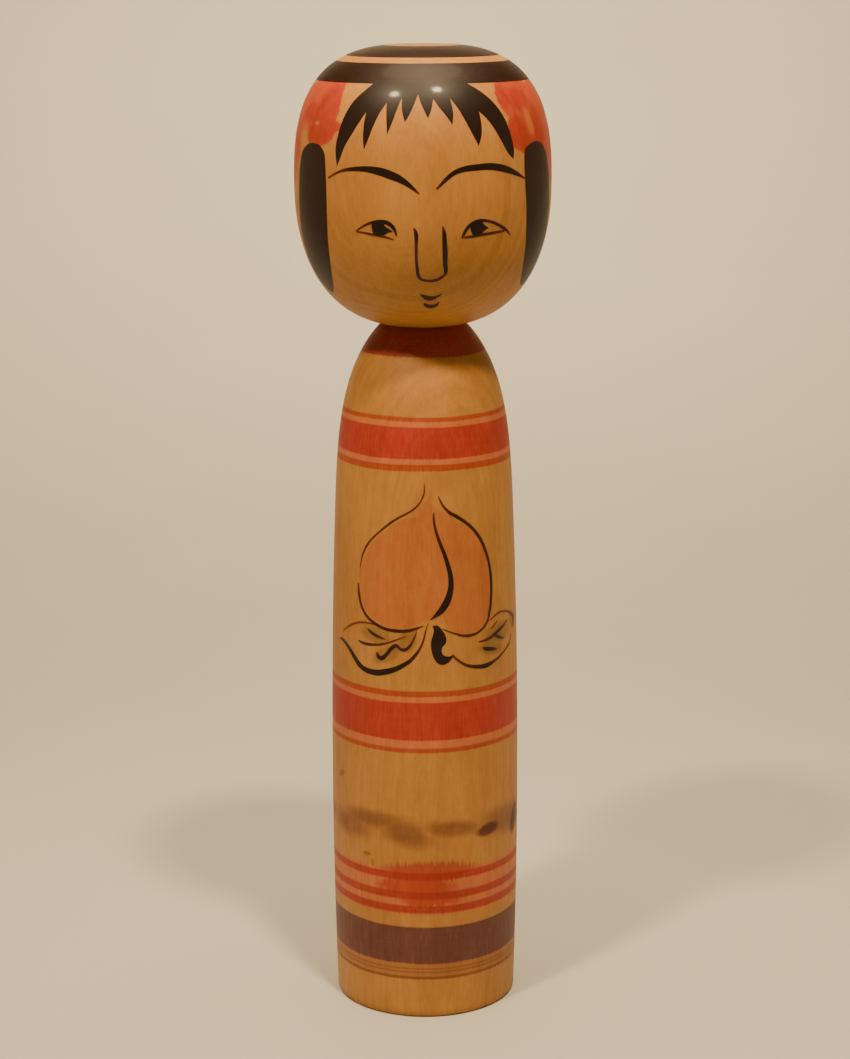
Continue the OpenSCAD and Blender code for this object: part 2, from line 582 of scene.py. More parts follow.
# %% Dye the faded garland
FADED_PURPLE = (0.50, 0.42, 0.62)
OLD_PURPLE = (0.28, 0.15, 0.26)
GHOSTS = [  # (centre, half-sizes, turn) of each brush mark
    ((-22.0, 48.8), (7.0, 3.0), -2), ((-36, 50.0), (8, 2.8), -6), ((-14.5, 51.8), (9.0, 2.2), 2),
    ((-4.9, 49.0), (6.0, 3.2), -16), ((7, 50.2), (7.0, 2.0), -4), ((24.5, 49.0), (10.5, 3.6), -6),
]
LEAVES = [((16.8, 48.3), (3.5, 1.6), 6), ((28.6, 47.7), (2.0, 4.0), -18)]
BACK_SEAM = math.pi * body_side.girth_radius  # past it the map starts again on the left
for i in range(8):
    right = 38.66 + 9.6 * i
    right -= 2 * BACK_SEAM if right > BACK_SEAM else 0
    LEAVES.append(((right, 48.4 + 0.7 * (-1) ** i), (3.9, 1.9), 35 - 70 * (i % 2)))

faded = union([patch(wrap, *ghost, 0.55, blur * 1.1) for ghost in GHOSTS])
dark = union([patch(wrap, *leaf, 0.3, blur * 0.7) for leaf in LEAVES])
colour = body_finish.stain(colour, FADED_PURPLE, faded * (0.92 + blur))
colour = body_finish.stain(colour, OLD_PURPLE, dark * (0.95 + blur))
print(len(GHOSTS), "ghosts and", len(LEAVES), "dark leaves")

# %% Dye the fruit and the leaves
PEACH = (0.98, 0.58, 0.66)
GREY = (0.56, 0.64, 0.72)
LEFT_HALF = [
    ((-6.9, 112.2), (11.1, 11.0), 0), ((-5.2, 117.0), (11.2, 9.6), 30), ((-6.5, 122.5), (9.0, 4.5), 42),
    ((1.5, 112.5), (5.3, 9.0), 0),
]
RIGHT_HALF = [
    ((11.8, 111.5), (6.9, 11.9), 0), ((10.8, 105.4), (6.3, 5.6), 0), ((11.2, 117.0), (5.8, 11.0), 22),
    ((6.0, 125.0), (3.2, 5.6), 20),
]
LEAF_SHADE = [
    ((-12.5, 99.2), (4.6, 2.0), -8), ((-9.5, 94.9), (4.2, 2.0), 30), ((18.2, 94.9), (4.5, 1.7), -8),
    ((21.0, 98.2), (5.0, 2.6), 8), ((28.3, 99.8), (1.9, 2.6), 20), ((-4.0, 98.6), (2.2, 3.0), -20),
]

halves = union([patch(wrap, *oval, 0.035, blur * 0.18) for oval in LEFT_HALF + RIGHT_HALF])
tip = patch(wrap, (0.4, 126.5), (3.6, 6.4), -6, 0.45, blur)
peach_load = 0.78 + blur * 0.6 + (fibres - 0.5) * 0.3
colour = body_finish.stain(colour, PEACH, halves.or_more(tip) * peach_load)
shade = union([patch(wrap, *oval, 0.35, blur * 0.4) for oval in LEAF_SHADE])
colour = body_finish.stain(colour, GREY, shade * 0.85)
print("fruit and leaves dyed")

# %% Specks, a foot darker at the bottom, and the wax
SPECK_BROWN = (0.60, 0.42, 0.36)
FOOT_DARKENING = (0.45, 0.36, 0.30)
SPECKS = [((-15.4, 42.3), (1.2, 0.5), 0), ((-13.7, 40.3), (0.4, 1.0), 10), ((-25, 61), (1.6, 0.8), 30)]

specks = union([patch(wrap, *speck, 0.4, blur) for speck in SPECKS])
colour = body_finish.stain(colour, SPECK_BROWN, specks * 0.8)
# the lowest 2 mm of the foot are made darker towards the bottom
colour = body_finish.stain(colour, FOOT_DARKENING, (1 - v.rise(0.2, 2.2)) * (0.5 + blur))
turning = body_finish.noise(wrap, (0, 1.4, 0), 2)
waxed(body_finish, fibres, rings, turning)
body_finish.surface(Base_Color=colour)
turned_body.data.materials.append(body_finish.material)
print("turned_body is finished")

# %% [markdown]
# ## The head's dyes
#
# Both sides of the head carry a red ornament, brushed in round, watery petals between the ring
# on the crown and the side locks. We could glaze each petal by itself, but then every overlap
# would show as a hard-edged lens, and wet petals run into one another. So the petals are first
# joined into one wash with a ragged edge. Darker overlaps are laid into it where the brush came
# down twice, and small gaps stay open where it missed the wood.

# %% Place the ornaments' petals
LEFT_WASH = [
    ((-31.0, 19.5), (8.0, 7.6), 0), ((-29.2, 14.4), (6.4, 4.6), 0), ((-25.0, 15.0), (4.0, 1.5), -4),
    ((-28.0, 24.0), (4.6, 4.4), 0), ((-38.5, 19.5), (7.5, 6.6), 0), ((-41.5, 11.5), (3.6, 7.0), 0),
    ((-47.0, 6.0), (6.5, 7.5), 0),
]
LEFT_OVERLAPS = [
    ((-28.2, 13.8), (5.6, 3.2), 8), ((-27.2, 21.0), (4.4, 4.6), 0), ((-35.0, 18.0), (4.6, 2.0), 8),
    ((-31.5, 16.6), (5.0, 1.4), -4), ((-47.5, 8.5), (4.0, 4.6), 0),
]
RIGHT_WASH = [
    ((27.4, 21.8), (6.6, 6.0), 0), ((32.5, 18.5), (7.2, 8.4), 0), ((27.2, 13.6), (4.8, 5.2), 0),
    ((34.5, 13.0), (4.8, 7.0), 0), ((41.5, 21.0), (6.0, 5.4), 0), ((41.5, 12.0), (3.6, 7.0), 0),
    ((46.5, 6.5), (6.5, 7.5), 0),
]
RIGHT_OVERLAPS = [
    ((25.6, 13.2), (3.2, 4.0), 0), ((23.0, 22.0), (2.6, 3.2), 0), ((35.0, 14.0), (3.0, 5.6), 8),
    ((29.0, 21.0), (4.4, 3.0), 0), ((28.0, 10.8), (4.4, 2.0), 0), ((47.0, 9.0), (4.0, 4.6), 0),
]
GAPS = [((-36.6, 12.6), (2.4, 2.7), 20), ((-30.4, 15.3), (1.0, 0.5), 0), ((31.0, 15.6), (1.3, 3.4), 14)]
print(len(LEFT_WASH), "petals on the left and", len(RIGHT_WASH), "on the right")

# %% Dye the head
WASH_RED = (0.96, 0.26, 0.42)
SECOND_WASH = (0.86, 0.60, 0.70)
OLD_LIP = (0.86, 0.74, 0.86)

head_finish = Finish("dyed_head_wood")
head_wood, fibres, rings = wood(
    head_finish, heart=(14, 62), pale=(0.48, 0.218, 0.050), deep=(0.32, 0.130, 0.027)
)
wrap = head_finish.node("UVMap", {"uv_map": "wrap"}, {})
v = head_finish.parts(wrap)[1]
streaks = head_finish.noise(wrap, (0.9, 0.25, 0), 2, 0.6)
ragged = head_finish.noise(wrap, (0.45, 0.45, 0), 4, 0.6) - 0.5

washes = union([patch(wrap, *petal, 0.06, ragged * 0.32) for petal in LEFT_WASH + RIGHT_WASH])
gaps = union([patch(wrap, *gap, 0.35, ragged * 0.8) for gap in GAPS])
below_ring = (1 - v.rise(25.6, 26.4)) * (0.80 + streaks * 0.36)
colour = head_finish.stain(head_wood, WASH_RED, washes * (1 - gaps * 0.45) * below_ring)
overlaps = union([patch(wrap, *petal, 0.3, ragged * 0.6) for petal in LEFT_OVERLAPS + RIGHT_OVERLAPS])
colour = head_finish.stain(colour, SECOND_WASH, overlaps * washes * (1 - gaps))
colour = head_finish.stain(colour, OLD_LIP, patch(wrap, (2.2, -27.4), (2.2, 1.5), 0, 0.4, ragged) * 0.8)
turning = head_finish.noise(wrap, (0, 1.2, 0), 2)
waxed(head_finish, fibres, rings, turning)
head_finish.surface(Base_Color=colour)
turned_head.data.materials.append(head_finish.material)
print("turned_head is finished")

# %% [markdown]
# ## Ink
#
# The drawing is done in black ink with a springy pointed brush. A full brush leaves a
# glossy black. Where the brush lifts, the line thins out and turns brown, because less ink
# lies on the wood. Each stroke therefore carries its own `load` of ink, from 0 to 1, and a map
# named `brush` with the distance along and across the stroke, so the hairs' streaks follow it.
#
# We could paint the strokes into the wood's material like the dyes. Instead each stroke is a
# real film that stands a twentieth of a millimetre proud of the wood. That keeps its edge crisp
# however close we look, and lets us give the stroke the swelling and thinning that make it look
# drawn by hand.

# %% Mix the ink
ink_finish = Finish("brushed_ink")
brush = ink_finish.node("UVMap", {"uv_map": "brush"}, {})
load = ink_finish.node("Attribute", {"attribute_name": "load"}, {}, "Fac")
hairs = ink_finish.noise(brush, (0.12, 5.0, 0), 3, 0.7)
pooled = ink_finish.noise(brush, (0.5, 0.9, 0), 2)
blackness = (load + (hairs - 0.5) * 0.4 + (pooled - 0.5) * 0.25).rise(0.05, 0.95)
ink_colour = ink_finish.blend((0.17, 0.034, 0.010), (0.010, 0.003, 0.0015), blackness)
ink_bump = ink_finish.node("Bump", {}, {"Strength": 0.15, "Distance": 0.0001, "Height": hairs})
ink_finish.surface(Base_Color=ink_colour, Roughness=0.38 + hairs * 0.16, Normal=ink_bump)
ink_finish.surface(Coat_Weight=0.1, Coat_Roughness=0.12, Specular_IOR_Level=0.25)
print("ink mixed")

# %% Helpers that draw smooth lines
def smooth_line(points, spacing=0.3):
    """A smooth curve through a few points, as many points about spacing apart."""
    gaps = [max(math.dist(a[:2], b[:2]), 1e-6) for a, b in zip(points, points[1:])]
    points = [Vector(point) for point in points]
    steps = [(b - a) / gap for a, b, gap in zip(points, points[1:], gaps)]
    slopes = [steps[0]]
    for before, after, gap, next_gap in zip(steps, steps[1:], gaps, gaps[1:]):
        slopes.append((before * next_gap + after * gap) / (gap + next_gap))
    slopes.append(steps[-1])
    line = []
    for i, gap in enumerate(gaps):
        count = max(1, round(gap / spacing))
        for j in range(count):
            t = j / count
            start = points[i] * (2 * t**3 - 3 * t**2 + 1) + slopes[i] * (gap * (t**3 - 2 * t**2 + t))
            end = points[i + 1] * (3 * t**2 - 2 * t**3) + slopes[i + 1] * (gap * (t**3 - t**2))
            line.append(start + end)
    line.append(points[-1])
    return line


FILM_ABOVE, FILM_BELOW = 0.05, 0.15  # how far an ink film reaches out of and into the wood
OVERLAP_LIFT = 0.004  # raises a film that crosses another, so that the two don't flicker


def lay_film(name, flat, side, body_name, lift=0.0):
    """Gives a flat drawing its thickness, lays it on a turned piece and inks it."""
    bmesh.ops.recalc_face_normals(flat, faces=flat.faces)
    if flat.faces[0].normal.z < 0:
        bmesh.ops.reverse_faces(flat, faces=flat.faces)
    top = flat.faces[:]
    wall = bmesh.ops.extrude_face_region(flat, geom=top, use_keep_orig=True)
    raised = [item for item in wall["geom"] if isinstance(item, bmesh.types.BMVert)]
    bmesh.ops.translate(flat, verts=raised, vec=(0, 0, FILM_ABOVE + FILM_BELOW))
    bmesh.ops.recalc_face_normals(flat, faces=flat.faces)
    for vert in flat.verts:
        vert.co = side.place(vert.co.x, vert.co.y, vert.co.z - FILM_BELOW + lift)
    film = finished(name, flat, body_name)
    film.data.materials.append(ink_finish.material)


print("smooth lines and films are ready")

# %% Draw a stroke
THINNEST_LINE = 0.06


def stroke(name, points, side, body_name, black=1.0, lift=0.0):
    """A brush stroke through (u, v, width) points, with rounded ends."""
    line = smooth_line(points)
    lengths = [0.0]
    for a, b in zip(line, line[1:]):
        lengths.append(lengths[-1] + math.dist(a[:2], b[:2]))
    flat = bmesh.new()
    bmesh.ops.create_grid(flat, x_segments=len(line) - 1, y_segments=4, size=0.5, calc_uvs=False)
    load = flat.verts.layers.float.new("load")
    travel = flat.verts.layers.float.new("travel")
    across = flat.verts.layers.float.new("across")
    for vert in flat.verts:
        index = min(round((vert.co.x + 0.5) * (len(line) - 1)), len(line) - 1)
        u, v, width = line[index]
        before, after = line[max(index - 1, 0)], line[min(index + 1, len(line) - 1)]
        heading = Vector((after[0] - before[0], after[1] - before[1])).normalized()
        to_end = min(lengths[index], lengths[-1] - lengths[index]) + 0.02
        if to_end < width / 2:
            width *= math.sqrt(1 - (1 - 2 * to_end / width) ** 2)
        offset = vert.co.y * max(width, THINNEST_LINE)
        vert[load] = black * min(1.0, 0.12 + width * 0.85)  # a thin line holds less ink
        vert[travel], vert[across] = lengths[index], offset
        vert.co = (u - heading.y * offset, v + heading.x * offset, 0)
    write_brush(flat, travel, across)
    lay_film(name, flat, side, body_name, lift)


def write_brush(flat, travel, across):
    """The map named brush: distance along and across the stroke, in mm."""
    brush = flat.loops.layers.uv.new("brush")
    for face in flat.faces:
        for loop in face.loops:
            loop[brush].uv = (loop.vert[travel], loop.vert[across])


print("a stroke is drawn through (u, v, width) points")

# %% Fill an outline
def fill(name, runs, side, body_name, black=1.0, lift=0.0, cell=1.0):
    """A brushed patch inside smooth runs of (u, v) points that meet at corners."""
    outline = []
    for start, run in zip([runs[-1][-1]] + [run[-1] for run in runs], runs):
        outline += smooth_line([start] + run, 0.5)[:-1]
    flat = bmesh.new()
    corners = [flat.verts.new((u, v, 0)) for u, v in outline]
    flat.faces.new(corners)
    for axis in (0, 1):
        low, high = min(p[axis] for p in outline), max(p[axis] for p in outline)
        normal = (1, 0, 0) if axis == 0 else (0, 1, 0)
        for i in range(math.ceil(low / cell), math.floor(high / cell) + 1):
            cut = [i * cell * part for part in normal]
            everything = flat.verts[:] + flat.edges[:] + flat.faces[:]
            bmesh.ops.bisect_plane(flat, geom=everything, plane_co=cut, plane_no=normal)
    bmesh.ops.remove_doubles(flat, verts=flat.verts, dist=0.01)
    load = flat.verts.layers.float.new("load")
    travel = flat.verts.layers.float.new("travel")
    across = flat.verts.layers.float.new("across")
    for vert in flat.verts:
        vert[load], vert[travel], vert[across] = black, vert.co.y, vert.co.x
    write_brush(flat, travel, across)
    lay_film(name, flat, side, body_name, lift)


print("strokes and fills are ready")

# %% [markdown]
# ## Black rings on the crown
#
# The turner holds a loaded brush against the spinning head: once for the wide ring and once
# for the cap, leaving a bare ring between them and a bare disc in the middle. These films are
# spun like the wood they lie on.

# %% Lay the two rings
RING_LOW, RING_HIGH = 25.7, 32.3
CAP_LOW = 34.9
RING_LOAD = 0.85  # spread thinner than a brush stroke


def ring(name, low, high):
    """An ink film all round the head between two distances along its side."""
    count = max(6, round((high - low) / 0.5))
    distances = [low + (high - low) * i / count for i in range(count + 1)]
    ends = [(v, -FILM_BELOW) for v in distances] + [(v, FILM_ABOVE) for v in reversed(distances)]
    flat = bmesh.new()
    travel = flat.verts.layers.float.new("travel")
    chain = [flat.verts.new(head_side.place(0, v, lift)) for v, lift in ends]
    for vert, (v, _) in zip(chain, ends):
        vert[travel] = v
    edges = [flat.edges.new(pair) for pair in zip(chain, chain[1:] + chain[:1])]
    bmesh.ops.spin(
        flat, geom=chain + edges, cent=(0, 0, 0), axis=(0, 0, 1), angle=2 * math.pi,
        steps=TURN_STEPS, use_merge=True,
    )
    bmesh.ops.remove_doubles(flat, verts=flat.verts, dist=1e-7)
    bmesh.ops.recalc_face_normals(flat, faces=flat.faces)
    load = flat.verts.layers.float.new("load")
    brush = flat.loops.layers.uv.new("brush")
    for vert in flat.verts:
        vert[load] = RING_LOAD
    for face in flat.faces:
        middle = face.calc_center_median()
        front = math.atan2(middle.x, -middle.y)
        for loop in face.loops:
            angle = math.atan2(loop.vert.co.x, -loop.vert.co.y)
            angle += 2 * math.pi * round((front - angle) / (2 * math.pi))
            loop[brush].uv = (angle * HEAD_RADIUS, loop.vert[travel])
    film = finished(name, flat, "head")
    film.data.materials.append(ink_finish.material)


ring("brow_ring", RING_LOW, RING_HIGH)
ring("crown_cap", CAP_LOW, head_side.along[-1] - 0.05)
print("rings laid")

# %% [markdown]
# ## The hair
#
# The forelock springs from the ring in eight pointed locks, each one pulled down and lifted
# off. On each side a long lock hangs past the cheek. We draw the outline of each mass: smooth
# runs that meet in corners at the tips and between the locks.

# %% Draw the forelock and the side locks
FORELOCK = [
    [(-16.8, 23.3), (-18.6, 21.4), (-20.1, 18.8), (-21.2, 16.0), (-21.9, 13.0), (-22.3, 9.8), (-21.7, 5.8)],
    [(-20.8, 7.6), (-19.6, 10.4), (-17.9, 13.1), (-16.3, 15.7), (-14.5, 18.6)],
    [(-14.7, 15.5), (-14.6, 12.5), (-14.2, 9.9)],
    [(-13.4, 11.8), (-12.3, 14.9), (-11.0, 18.0), (-9.3, 20.9)],
    [(-9.0, 17.5), (-8.5, 13.4)],
    [(-7.6, 15.8), (-6.6, 18.8), (-5.4, 22.1)],
    [(-5.1, 18.8), (-4.3, 16.3)],
    [(-3.3, 18.0), (-2.2, 20.4), (-1.2, 23.0)],
    [(-0.3, 20.5), (1.3, 17.2)],
    [(2.1, 19.0), (2.8, 21.8)],
    [(4.2, 19.7), (5.9, 17.6), (7.2, 15.6)],
    [(7.6, 17.8), (7.2, 22.0)],
    [(9.0, 19.4), (10.7, 16.2), (12.2, 13.2), (13.5, 10.7)],
    [(14.4, 13.0), (14.7, 15.8), (14.5, 18.6)],
    [(16.4, 16.8), (18.3, 14.2), (20.2, 11.0), (21.8, 8.5), (23.3, 7.2)],
    [(23.6, 9.0), (23.2, 12.0), (22.3, 15.3), (20.7, 18.7), (18.4, 21.6), (15.8, 23.8), (12.4, 26.0)],
    [(12.4, 27.5)],
    [(-14.4, 27.5)],
    [(-14.4, 25.6)],
]
LEFT_LOCK = [
    [(-28.0, 10.2), (-26.2, 8.7), (-25.5, 5.0), (-25.2, 0.0), (-25.3, -5.0), (-26.0, -11.0),
     (-27.2, -17.0), (-29.2, -21.8), (-32.0, -25.4), (-35.2, -26.8), (-38.6, -25.0), (-40.6, -20.0),
     (-40.7, -14.0), (-39.6, -8.0), (-38.4, -1.0), (-37.8, 4.5), (-36.2, 8.4), (-33.5, 10.2),
     (-30.8, 10.7)],
]
RIGHT_LOCK = [
    [(35.5, 10.2), (38.3, 7.8), (40.2, 3.0), (41.4, -3.0), (42.6, -10.0), (43.2, -17.0),
     (41.8, -22.5), (38.8, -25.2), (36.0, -24.6), (33.3, -22.0), (31.2, -18.2), (29.7, -13.5),
     (28.6, -8.5), (27.8, -3.0), (27.3, 2.0), (27.1, 6.5), (27.7, 9.3), (29.8, 10.3), (32.6, 10.8)],
]
fill("forelock", FORELOCK, head_side, "head", 0.95, OVERLAP_LIFT)
fill("left_lock", LEFT_LOCK, head_side, "head", 0.85)
fill("right_lock", RIGHT_LOCK, head_side, "head", 0.85)
print("hair drawn")

# %% [markdown]
# ## The face
#
# A calm, plain doll's face: long arched brows, single-lidded eyes with the iris touching the
# upper lid, a nose of three joined lines, and a small mouth. Each line is one stroke, given as
# (u, v, width), so that we can see where the brush pressed.

# %% Draw the brows
LEFT_BROW = [
    (-24.6, 2.85, 0.40), (-22.3, 4.0, 0.50), (-19.5, 4.95, 0.70), (-16.5, 5.35, 1.0), (-13.0, 5.4, 1.4),
    (-10.0, 4.95, 1.85), (-7.5, 4.2, 1.9), (-5.5, 3.4, 1.65), (-3.8, 2.4, 1.25), (-2.2, 1.15, 0.8),
    (-0.8, -0.05, 0.35),
]
RIGHT_BROW = [
    (3.1, 0.95, 0.45), (4.3, 2.15, 0.7), (5.8, 3.6, 0.9), (7.6, 4.8, 1.1), (10.0, 5.5, 1.3),
    (13.0, 5.75, 1.45), (16.0, 5.85, 1.55), (19.0, 5.45, 1.65), (21.5, 4.8, 1.5), (23.8, 3.95, 1.1),
    (25.8, 3.1, 0.65), (27.6, 2.25, 0.35),
]
stroke("left_brow", LEFT_BROW, head_side, "head")
stroke("right_brow", RIGHT_BROW, head_side, "head")
print("brows drawn")

# %% Draw the eyes
LEFT_UPPER_LID = [
    (-16.7, -9.15, 0.35), (-15.5, -8.35, 0.45), (-14.0, -7.5, 0.55), (-12.0, -6.8, 0.75),
    (-10.0, -6.55, 0.9), (-8.5, -6.8, 1.0), (-7.2, -7.7, 0.95), (-6.55, -8.8, 0.7), (-6.35, -10.0, 0.4),
]
LEFT_LOWER_LID = [
    (-16.6, -9.2, 0.35), (-14.5, -9.35, 0.5), (-12.5, -9.65, 0.6), (-10.0, -10.0, 0.6),
    (-8.4, -10.35, 0.5), (-6.9, -10.8, 0.3),
]
LEFT_IRIS = [
    [(-12.2, -6.9), (-12.35, -8.3), (-11.9, -9.6), (-10.4, -9.95), (-9.2, -9.6), (-8.4, -9.15), (-7.1, -8.9)],
    [(-8.0, -8.25), (-9.0, -7.6), (-9.3, -6.9)],
    [(-10.8, -6.5)],
]
RIGHT_UPPER_LID = [
    (9.4, -10.65, 0.45), (9.95, -9.3, 0.75), (10.8, -8.0, 0.85), (12.0, -7.05, 0.85),
    (13.6, -6.6, 0.85), (15.5, -6.65, 0.7), (17.5, -7.2, 0.7), (19.5, -8.1, 0.75), (21.1, -9.0, 0.75),
    (22.3, -9.9, 0.5), (23.1, -10.7, 0.25),
]
RIGHT_LOWER_LID = [
    (9.9, -10.35, 0.5), (12.0, -10.2, 0.65), (14.5, -9.9, 0.7), (17.0, -9.7, 0.7), (19.0, -9.5, 0.65),
    (20.9, -9.4, 0.5),
]
RIGHT_IRIS = [
    [(11.45, -7.3), (11.45, -8.6), (12.1, -9.75), (13.3, -10.1), (14.5, -9.6), (15.2, -8.9), (16.3, -8.4)],
    [(15.3, -7.8), (14.5, -7.1), (14.2, -6.7)],
    [(12.6, -6.8)],
]
stroke("left_upper_lid", LEFT_UPPER_LID, head_side, "head")
stroke("left_lower_lid", LEFT_LOWER_LID, head_side, "head", 0.9)
fill("left_iris", LEFT_IRIS, head_side, "head", 1.0, OVERLAP_LIFT, cell=0.8)
stroke("right_upper_lid", RIGHT_UPPER_LID, head_side, "head")
stroke("right_lower_lid", RIGHT_LOWER_LID, head_side, "head", 0.9)
fill("right_iris", RIGHT_IRIS, head_side, "head", 1.0, OVERLAP_LIFT, cell=0.8)
print("eyes drawn")

# %% Draw the nose and the mouth
NOSE_LEFT = [
    (-2.15, -7.9, 0.4), (-1.75, -8.9, 0.85), (-1.65, -12.0, 0.75), (-1.7, -15.0, 0.7),
    (-1.5, -18.0, 0.85), (-1.3, -19.6, 0.9), (-0.6, -20.7, 0.75), (0.9, -21.1, 0.65), (2.5, -21.15, 0.75),
    (4.0, -20.8, 0.75), (5.2, -20.0, 0.75), (6.3, -18.8, 0.5),
]
NOSE_RIGHT = [
    (4.6, -7.5, 0.3), (4.95, -8.9, 0.85), (5.15, -11.0, 1.1), (5.4, -14.0, 1.25), (5.6, -17.0, 1.1),
    (5.85, -18.5, 1.0), (5.7, -19.6, 0.6),
]
UPPER_LIP = [
    [(1.0, -25.45), (2.7, -25.75), (4.1, -25.5), (5.4, -24.9)],
    [(4.9, -25.7), (4.0, -26.3), (2.9, -26.95), (1.2, -27.0), (-0.1, -26.3), (-1.1, -24.9)],
]
LOWER_LIP = [
    [(1.4, -28.3), (2.9, -28.6), (4.0, -28.2), (5.0, -27.3)],
    [(4.7, -28.8), (3.7, -29.6), (2.4, -29.9), (1.1, -29.6), (0.2, -28.9), (0.1, -27.9)],
]
stroke("nose_left", NOSE_LEFT, head_side, "head", 0.9)
stroke("nose_right", NOSE_RIGHT, head_side, "head", 1.0, OVERLAP_LIFT)
fill("upper_lip", UPPER_LIP, head_side, "head", 0.8, cell=0.8)
fill("lower_lip", LOWER_LIP, head_side, "head", 0.75, cell=0.8)
print("nose and mouth drawn")

# %% [markdown]
# ## The peach
#
# The body carries a peach with its two leaves, a wish for long life. Its outline is drawn
# over the dried dye with a fine brush and does not quite follow it, which shows that the
# colour came first and the line after.

# %% Draw the peach
PEACH_STROKES = {
    "peach_tip": [
        (0.05, 137.4, 0.2), (0.1, 135.6, 0.4), (-0.4, 133.9, 0.4), (-1.7, 132.0, 0.45), (-3.6, 130.5, 0.5),
        (-6.0, 129.2, 0.5), (-8.5, 127.6, 0.6), (-11.0, 125.6, 0.5), (-13.5, 123.4, 0.5),
        (-15.5, 121.1, 0.55), (-16.6, 119.0, 0.5), (-17.2, 117.2, 0.4), (-17.6, 115.2, 0.2),
    ],
    "peach_left": [
        (-18.1, 111.6, 0.45), (-17.9, 109.2, 0.7), (-17.3, 106.8, 0.75), (-16.2, 104.7, 0.75),
        (-14.5, 103.1, 0.75), (-12.5, 102.0, 0.8), (-10.0, 101.15, 0.8), (-7.0, 100.85, 0.85),
        (-4.0, 101.1, 0.8), (-2.0, 101.7, 0.65), (-0.2, 102.4, 0.3),
    ],
    "peach_cleft": [
        (2.4, 130.4, 0.3), (2.4, 128.8, 0.6), (2.65, 126.9, 0.65), (3.25, 124.7, 0.75), (4.1, 122.3, 0.85),
        (5.1, 119.7, 0.95), (5.95, 117.0, 1.1), (6.5, 114.5, 1.25), (6.6, 112.0, 1.4), (6.1, 109.6, 1.65),
        (5.2, 107.6, 1.8), (4.0, 106.0, 1.5), (2.6, 104.8, 0.85), (1.3, 103.8, 0.25),
    ],
    "peach_right": [
        (3.6, 134.3, 0.3), (4.2, 132.9, 0.5), (5.1, 131.5, 0.6), (6.4, 130.2, 0.8), (8.2, 129.1, 0.9),
        (10.2, 127.8, 0.8), (12.2, 126.2, 0.8), (14.1, 124.1, 0.85), (15.6, 121.8, 0.85),
        (16.9, 119.0, 0.85), (17.8, 116.0, 0.85), (18.3, 113.0, 0.9), (18.4, 110.0, 0.9),
        (18.2, 107.3, 0.85), (17.7, 104.4, 0.8), (16.9, 102.1, 0.7), (15.4, 100.5, 0.65),
        (13.5, 99.5, 0.65), (11.5, 99.2, 0.75), (9.5, 99.4, 0.65), (7.5, 100.1, 0.5), (5.6, 100.9, 0.4),
        (4.3, 101.6, 0.2),
    ],
}
for name, points in PEACH_STROKES.items():
    stroke(name, points, body_side, "body", 0.9)
print(len(PEACH_STROKES), "strokes for the peach")

